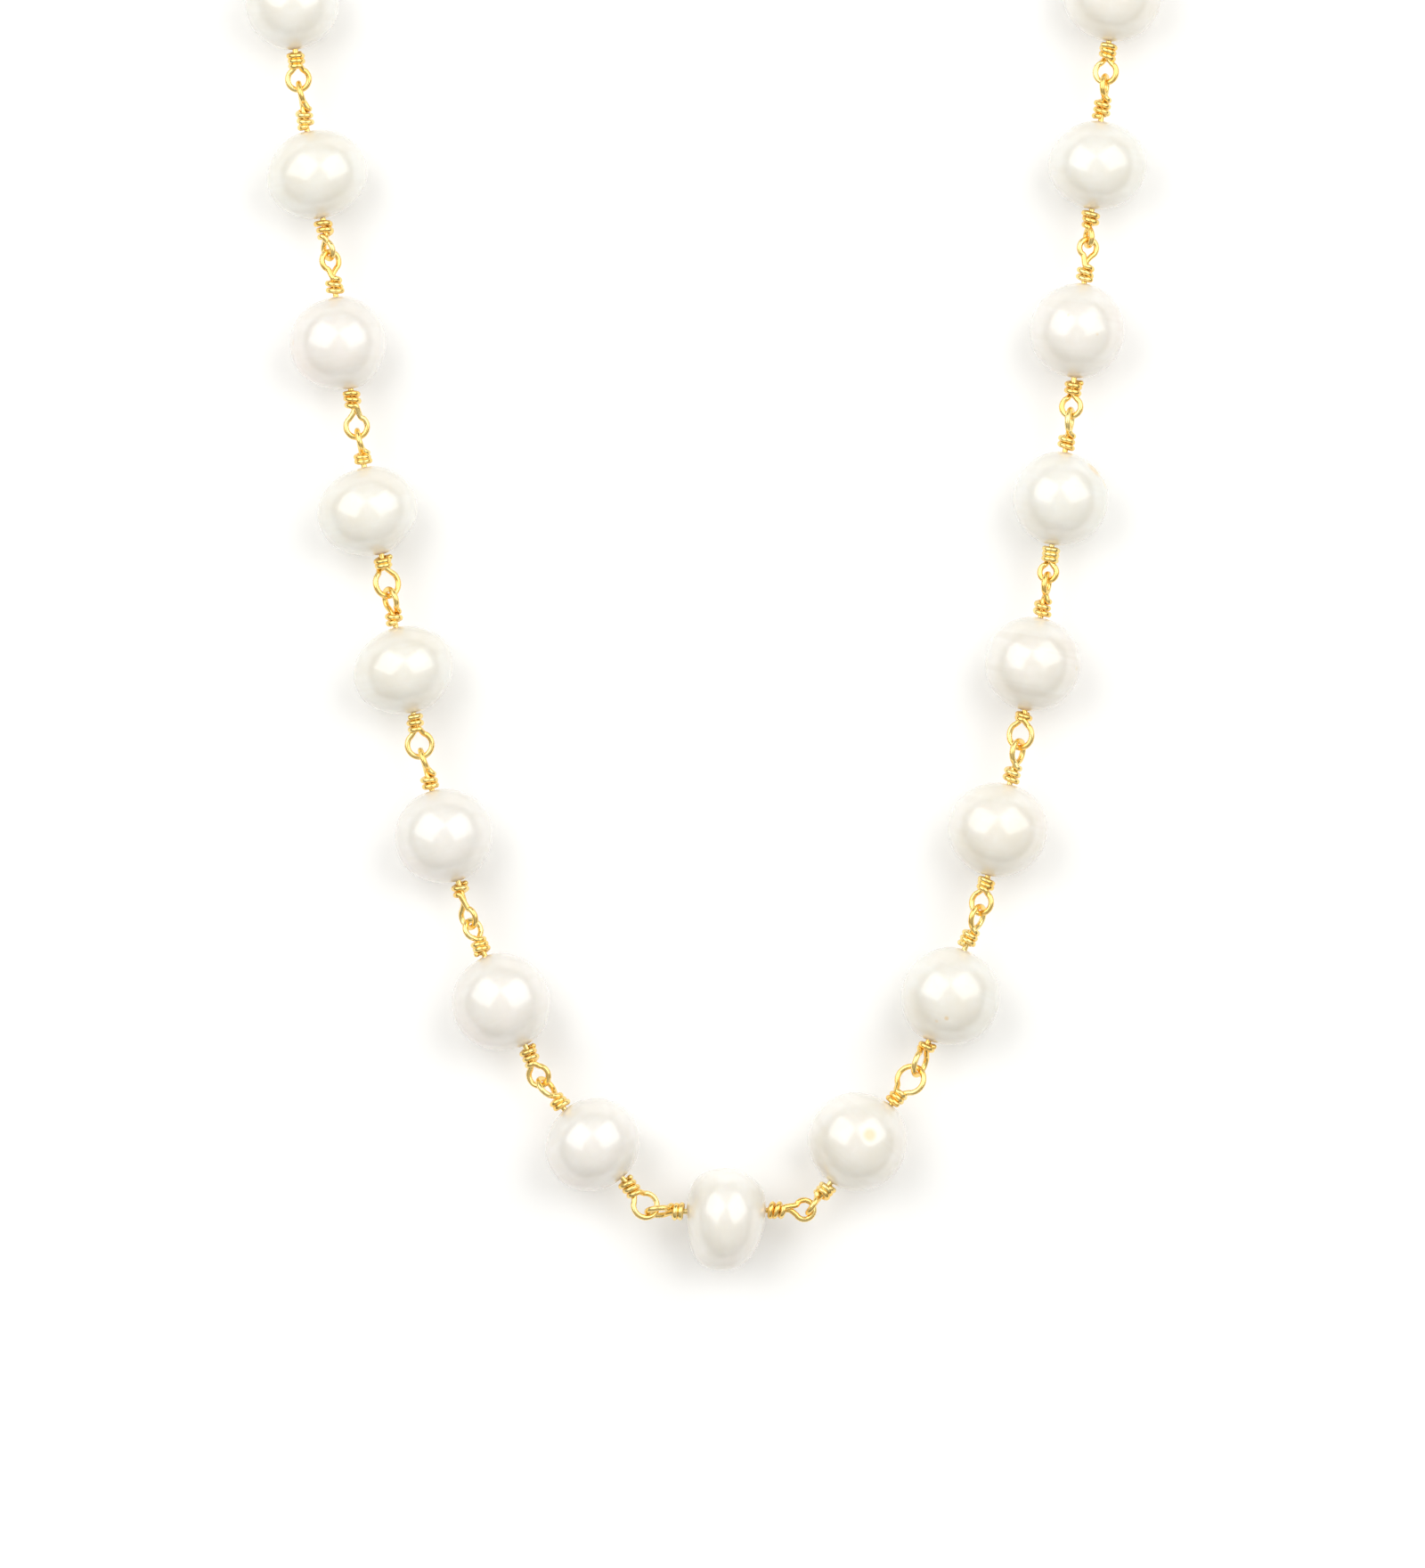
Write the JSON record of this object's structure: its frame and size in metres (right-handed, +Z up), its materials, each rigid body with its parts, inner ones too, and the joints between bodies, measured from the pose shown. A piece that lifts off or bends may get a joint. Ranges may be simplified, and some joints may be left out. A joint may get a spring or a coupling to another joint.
{
  "type": "pearl necklace",
  "caption": "Single-strand necklace of baroque pearls on hand-wrapped gold wire links, with a lobster claw clasp and a closing ring.",
  "frame": {"origin": "under the middle of the whole necklace as it lies, on the surface that it lies on", "axes": "+X to the right as it is seen from above, +Y from the centre pearl up towards the clasp, +Z up from the surface"},
  "size_m": [0.0918, 0.2072, 0.0092],
  "materials": {
    "pearl": "gloss",
    "gold_wire": "polished",
    "gold_clasp": "polished",
    "clasp_steel": "satin"
  },
  "bodies": {
    "link_01": {"link_wire_01": "gold_wire"},
    "pearl_01": {"pearl_01": "pearl"},
    "link_02": {"link_wire_02": "gold_wire"},
    "pearl_02": {"pearl_02": "pearl"},
    "link_03": {"link_wire_03": "gold_wire"},
    "pearl_03": {"pearl_03": "pearl"},
    "link_04": {"link_wire_04": "gold_wire"},
    "pearl_04": {"pearl_04": "pearl"},
    "link_05": {"link_wire_05": "gold_wire"},
    "pearl_05": {"pearl_05": "pearl"},
    "link_06": {"link_wire_06": "gold_wire"},
    "pearl_06": {"pearl_06": "pearl"},
    "link_07": {"link_wire_07": "gold_wire"},
    "pearl_07": {"pearl_07": "pearl"},
    "link_08": {"link_wire_08": "gold_wire"},
    "pearl_08": {"pearl_08": "pearl"},
    "link_09": {"link_wire_09": "gold_wire"},
    "pearl_09": {"pearl_09": "pearl"},
    "link_10": {"link_wire_10": "gold_wire"},
    "pearl_10": {"pearl_10": "pearl"},
    "link_11": {"link_wire_11": "gold_wire"},
    "pearl_11": {"pearl_11": "pearl"},
    "link_12": {"link_wire_12": "gold_wire"},
    "pearl_12": {"pearl_12": "pearl"},
    "link_13": {"link_wire_13": "gold_wire"},
    "pearl_13": {"pearl_13": "pearl"},
    "link_14": {"link_wire_14": "gold_wire"},
    "pearl_14": {"pearl_14": "pearl"},
    "link_15": {"link_wire_15": "gold_wire"},
    "pearl_15": {"pearl_15": "pearl"},
    "link_16": {"link_wire_16": "gold_wire"},
    "pearl_16": {"pearl_16": "pearl"},
    "link_17": {"link_wire_17": "gold_wire"},
    "pearl_17": {"pearl_17": "pearl"},
    "link_18": {"link_wire_18": "gold_wire"},
    "pearl_18": {"pearl_18": "pearl"},
    "link_19": {"link_wire_19": "gold_wire"},
    "pearl_19": {"pearl_19": "pearl"},
    "link_20": {"link_wire_20": "gold_wire"},
    "pearl_20": {"pearl_20": "pearl"},
    "link_21": {"link_wire_21": "gold_wire"},
    "pearl_21": {"pearl_21": "pearl"},
    "link_22": {"link_wire_22": "gold_wire"},
    "pearl_22": {"pearl_22": "pearl"},
    "link_23": {"link_wire_23": "gold_wire"},
    "pearl_23": {"pearl_23": "pearl"},
    "link_24": {"link_wire_24": "gold_wire"},
    "pearl_24": {"pearl_24": "pearl"},
    "link_25": {"link_wire_25": "gold_wire"},
    "pearl_25": {"pearl_25": "pearl"},
    "link_26": {"link_wire_26": "gold_wire"},
    "pearl_26": {"pearl_26": "pearl"},
    "link_27": {"link_wire_27": "gold_wire"},
    "pearl_27": {"pearl_27": "pearl"},
    "jump_ring": {"clasp_ring": "gold_clasp"},
    "claw": {"clasp_body": "gold_clasp", "clasp_pin": "clasp_steel", "clasp_spring": "clasp_steel"},
    "lever": {"clasp_lever": "gold_clasp"},
    "closing_ring": {"end_ring": "gold_clasp"}
  },
  "joints": [
    {"name": "swing_14_13", "type": "hinge", "parent": "link_14", "child": "link_13", "pos_m": [-0.00424, -0.09824, 0.0046], "axis": [0.724, 0.6081, -0.3256], "range_deg": [-70, 70]},
    {"name": "swing_13_12", "type": "hinge", "parent": "link_13", "child": "link_12", "pos_m": [-0.01471, -0.08592, 0.0046], "axis": [-0.8262, -0.3725, -0.4226], "range_deg": [-70, 70]},
    {"name": "swing_12_11", "type": "hinge", "parent": "link_12", "child": "link_11", "pos_m": [-0.02175, -0.07029, 0.0046], "axis": [0.6983, 0.3149, -0.6428], "range_deg": [-70, 70]},
    {"name": "swing_11_10", "type": "hinge", "parent": "link_11", "child": "link_10", "pos_m": [-0.02622, -0.05466, 0.0046], "axis": [-0.9801, -0.1984, 0], "range_deg": [-70, 70]},
    {"name": "swing_10_09", "type": "hinge", "parent": "link_10", "child": "link_09", "pos_m": [-0.02932, -0.03937, 0.0046], "axis": [0.8499, 0.1665, -0.5], "range_deg": [-70, 70]},
    {"name": "swing_09_08", "type": "hinge", "parent": "link_09", "child": "link_08", "pos_m": [-0.03229, -0.02426, 0.0046], "axis": [-0.9876, -0.157, 0], "range_deg": [-70, 70]},
    {"name": "swing_08_07", "type": "hinge", "parent": "link_08", "child": "link_07", "pos_m": [-0.03509, -0.00663, 0.0046], "axis": [0.8553, 0.1359, -0.5], "range_deg": [-70, 70]},
    {"name": "swing_07_06", "type": "hinge", "parent": "link_07", "child": "link_06", "pos_m": [-0.03788, 0.00877, 0.0046], "axis": [-0.9941, -0.1086, 0], "range_deg": [-70, 70]},
    {"name": "swing_06_05", "type": "hinge", "parent": "link_06", "child": "link_05", "pos_m": [-0.03964, 0.02487, 0.0046], "axis": [0.9908, 0.1032, 0.0872], "range_deg": [-70, 70]},
    {"name": "swing_05_04", "type": "hinge", "parent": "link_05", "child": "link_04", "pos_m": [-0.04139, 0.04163, 0.0046], "axis": [-0.9346, -0.0973, 0.342], "range_deg": [-70, 70]},
    {"name": "swing_04_03", "type": "hinge", "parent": "link_04", "child": "link_03", "pos_m": [-0.04141, 0.05698, 0.0046], "axis": [0.937, -0.2346, -0.2588], "range_deg": [-70, 70]},
    {"name": "swing_03_02", "type": "hinge", "parent": "link_03", "child": "link_02", "pos_m": [-0.03729, 0.07342, 0.0046], "axis": [-0.9553, 0.2392, 0.1736], "range_deg": [-70, 70]},
    {"name": "swing_02_01", "type": "hinge", "parent": "link_02", "child": "link_01", "pos_m": [-0.02865, 0.08623, 0.0046], "axis": [0.5815, -0.7948, 0.1736], "range_deg": [-70, 70]},
    {"name": "swing_14_15", "type": "hinge", "parent": "link_14", "child": "link_15", "pos_m": [0.01106, -0.09775, 0.0046], "axis": [0.0141, -0.9999, 0], "range_deg": [-70, 70]},
    {"name": "swing_15_16", "type": "hinge", "parent": "link_15", "child": "link_16", "pos_m": [0.02107, -0.08434, 0.0046], "axis": [-0.7169, 0.5545, -0.4226], "range_deg": [-70, 70]},
    {"name": "swing_16_17", "type": "hinge", "parent": "link_16", "child": "link_17", "pos_m": [0.02678, -0.06955, 0.0046], "axis": [0.8427, -0.1998, 0.5], "range_deg": [-70, 70]},
    {"name": "swing_17_18", "type": "hinge", "parent": "link_17", "child": "link_18", "pos_m": [0.03054, -0.0538, 0.0046], "axis": [-0.8705, 0.1476, -0.4695], "range_deg": [-70, 70]},
    {"name": "swing_18_19", "type": "hinge", "parent": "link_18", "child": "link_19", "pos_m": [0.03324, -0.03792, 0.0046], "axis": [0.9565, -0.1344, 0.2588], "range_deg": [-70, 70]},
    {"name": "swing_19_20", "type": "hinge", "parent": "link_19", "child": "link_20", "pos_m": [0.03545, -0.02228, 0.0046], "axis": [-0.9728, 0.1025, -0.2079], "range_deg": [-70, 70]},
    {"name": "swing_20_21", "type": "hinge", "parent": "link_20", "child": "link_21", "pos_m": [0.03723, -0.00542, 0.0046], "axis": [0.9345, -0.0985, -0.342], "range_deg": [-70, 70]},
    {"name": "swing_21_22", "type": "hinge", "parent": "link_21", "child": "link_22", "pos_m": [0.03874, 0.00945, 0.0046], "axis": [-0.9655, 0.0961, -0.2419], "range_deg": [-70, 70]},
    {"name": "swing_22_23", "type": "hinge", "parent": "link_22", "child": "link_23", "pos_m": [0.04041, 0.02622, 0.0046], "axis": [0.9896, -0.0985, -0.1045], "range_deg": [-70, 70]},
    {"name": "swing_23_24", "type": "hinge", "parent": "link_23", "child": "link_24", "pos_m": [0.0415, 0.04173, 0.0046], "axis": [-0.9061, -0.0172, -0.4226], "range_deg": [-70, 70]},
    {"name": "swing_24_25", "type": "hinge", "parent": "link_24", "child": "link_25", "pos_m": [0.04118, 0.05847, 0.0046], "axis": [0.9846, 0.0187, 0.1736], "range_deg": [-70, 70]},
    {"name": "swing_25_26", "type": "hinge", "parent": "link_25", "child": "link_26", "pos_m": [0.03714, 0.0736, 0.0046], "axis": [-0.8164, -0.5507, -0.1736], "range_deg": [-70, 70]},
    {"name": "swing_26_27", "type": "hinge", "parent": "link_26", "child": "link_27", "pos_m": [0.02784, 0.0874, 0.0046], "axis": [0.8008, 0.5401, -0.2588], "range_deg": [-70, 70]},
    {"name": "spin_01", "type": "hinge", "parent": "link_01", "child": "pearl_01", "pos_m": [-0.02185, 0.09121, 0.0046], "axis": [-0.807, -0.5905, 0], "continuous": true},
    {"name": "spin_02", "type": "hinge", "parent": "link_02", "child": "pearl_02", "pos_m": [-0.03288, 0.07976, 0.0046], "axis": [-0.5592, -0.829, 0], "continuous": true},
    {"name": "spin_03", "type": "hinge", "parent": "link_03", "child": "pearl_03", "pos_m": [-0.03935, 0.0652, 0.0046], "axis": [-0.2429, -0.9701, 0], "continuous": true},
    {"name": "spin_04", "type": "hinge", "parent": "link_04", "child": "pearl_04", "pos_m": [-0.04134, 0.0493, 0.0046], "axis": [-0.0014, -1, 0], "continuous": true},
    {"name": "spin_05", "type": "hinge", "parent": "link_05", "child": "pearl_05", "pos_m": [-0.04051, 0.03325, 0.0046], "axis": [0.1036, -0.9946, 0], "continuous": true},
    {"name": "spin_06", "type": "hinge", "parent": "link_06", "child": "pearl_06", "pos_m": [-0.03879, 0.01714, 0.0046], "axis": [0.1086, -0.9941, 0], "continuous": true},
    {"name": "spin_07", "type": "hinge", "parent": "link_07", "child": "pearl_07", "pos_m": [-0.03648, 0.00107, 0.0046], "axis": [0.1762, -0.9843, 0], "continuous": true},
    {"name": "spin_08", "type": "hinge", "parent": "link_08", "child": "pearl_08", "pos_m": [-0.03369, -0.01545, 0.0046], "axis": [0.157, -0.9876, 0], "continuous": true},
    {"name": "spin_09", "type": "hinge", "parent": "link_09", "child": "pearl_09", "pos_m": [-0.03086, -0.0315, 0.0046], "axis": [0.1922, -0.9814, 0], "continuous": true},
    {"name": "spin_10", "type": "hinge", "parent": "link_10", "child": "pearl_10", "pos_m": [-0.02784, -0.0467, 0.0046], "axis": [0.1984, -0.9801, 0], "continuous": true},
    {"name": "spin_11", "type": "hinge", "parent": "link_11", "child": "pearl_11", "pos_m": [-0.02395, -0.06246, 0.0046], "axis": [0.2762, -0.9611, 0], "continuous": true},
    {"name": "spin_12", "type": "hinge", "parent": "link_12", "child": "pearl_12", "pos_m": [-0.01823, -0.0781, 0.0046], "axis": [0.411, -0.9116, 0], "continuous": true},
    {"name": "spin_13", "type": "hinge", "parent": "link_13", "child": "pearl_13", "pos_m": [-0.00964, -0.0918, 0.0046], "axis": [0.6432, -0.7657, 0], "continuous": true},
    {"name": "spin_14", "type": "hinge", "parent": "link_14", "child": "pearl_14", "pos_m": [0.00312, -0.09786, 0.0046], "axis": [0.9999, 0.0141, 0], "continuous": true},
    {"name": "spin_15", "type": "hinge", "parent": "link_15", "child": "pearl_15", "pos_m": [0.01577, -0.09119, 0.0046], "axis": [0.6118, 0.791, 0], "continuous": true},
    {"name": "spin_16", "type": "hinge", "parent": "link_16", "child": "pearl_16", "pos_m": [0.02386, -0.07692, 0.0046], "axis": [0.3629, 0.9318, 0], "continuous": true},
    {"name": "spin_17", "type": "hinge", "parent": "link_17", "child": "pearl_17", "pos_m": [0.02873, -0.06136, 0.0046], "axis": [0.2307, 0.973, 0], "continuous": true},
    {"name": "spin_18", "type": "hinge", "parent": "link_18", "child": "pearl_18", "pos_m": [0.03194, -0.04554, 0.0046], "axis": [0.1671, 0.9859, 0], "continuous": true},
    {"name": "spin_19", "type": "hinge", "parent": "link_19", "child": "pearl_19", "pos_m": [0.03438, -0.02978, 0.0046], "axis": [0.1391, 0.9903, 0], "continuous": true},
    {"name": "spin_20", "type": "hinge", "parent": "link_20", "child": "pearl_20", "pos_m": [0.03634, -0.01385, 0.0046], "axis": [0.1048, 0.9945, 0], "continuous": true},
    {"name": "spin_21", "type": "hinge", "parent": "link_21", "child": "pearl_21", "pos_m": [0.03798, 0.00201, 0.0046], "axis": [0.1011, 0.9949, 0], "continuous": true},
    {"name": "spin_22", "type": "hinge", "parent": "link_22", "child": "pearl_22", "pos_m": [0.03957, 0.01784, 0.0046], "axis": [0.0991, 0.9951, 0], "continuous": true},
    {"name": "spin_23", "type": "hinge", "parent": "link_23", "child": "pearl_23", "pos_m": [0.04093, 0.03398, 0.0046], "axis": [0.0692, 0.9976, 0], "continuous": true},
    {"name": "spin_24", "type": "hinge", "parent": "link_24", "child": "pearl_24", "pos_m": [0.04134, 0.0501, 0.0046], "axis": [-0.019, 0.9998, 0], "continuous": true},
    {"name": "spin_25", "type": "hinge", "parent": "link_25", "child": "pearl_25", "pos_m": [0.03907, 0.06601, 0.0046], "axis": [-0.2596, 0.9657, 0], "continuous": true},
    {"name": "spin_26", "type": "hinge", "parent": "link_26", "child": "pearl_26", "pos_m": [0.03249, 0.0805, 0.0046], "axis": [-0.5592, 0.829, 0], "continuous": true},
    {"name": "spin_27", "type": "hinge", "parent": "link_27", "child": "pearl_27", "pos_m": [0.02157, 0.09202, 0.0046], "axis": [-0.7967, 0.6044, 0], "continuous": true},
    {"name": "jump_ring_swing", "type": "hinge", "parent": "link_01", "child": "jump_ring", "pos_m": [-0.01505, 0.09618, 0.0046], "axis": [0.5905, -0.807, 0], "range_deg": [-10, 50]},
    {"name": "claw_swing", "type": "hinge", "parent": "jump_ring", "child": "claw", "pos_m": [-0.01366, 0.09699, 0.00149], "axis": [0.5, -0.866, 0], "range_deg": [-40, 2]},
    {"name": "lever_press", "type": "hinge", "parent": "claw", "child": "lever", "pos_m": [-0.0087, 0.09852, 0.00149], "axis": [0, 0, 1], "range_deg": [0, 24], "stiffness_Nm_per_rad": 0.002, "springref_deg": -11.46},
    {"name": "closing_ring_swing", "type": "hinge", "parent": "link_27", "child": "closing_ring", "pos_m": [0.01567, 0.09649, 0.0046], "axis": [0.6044, 0.7967, 0], "range_deg": [-20, 60]}
  ]
}
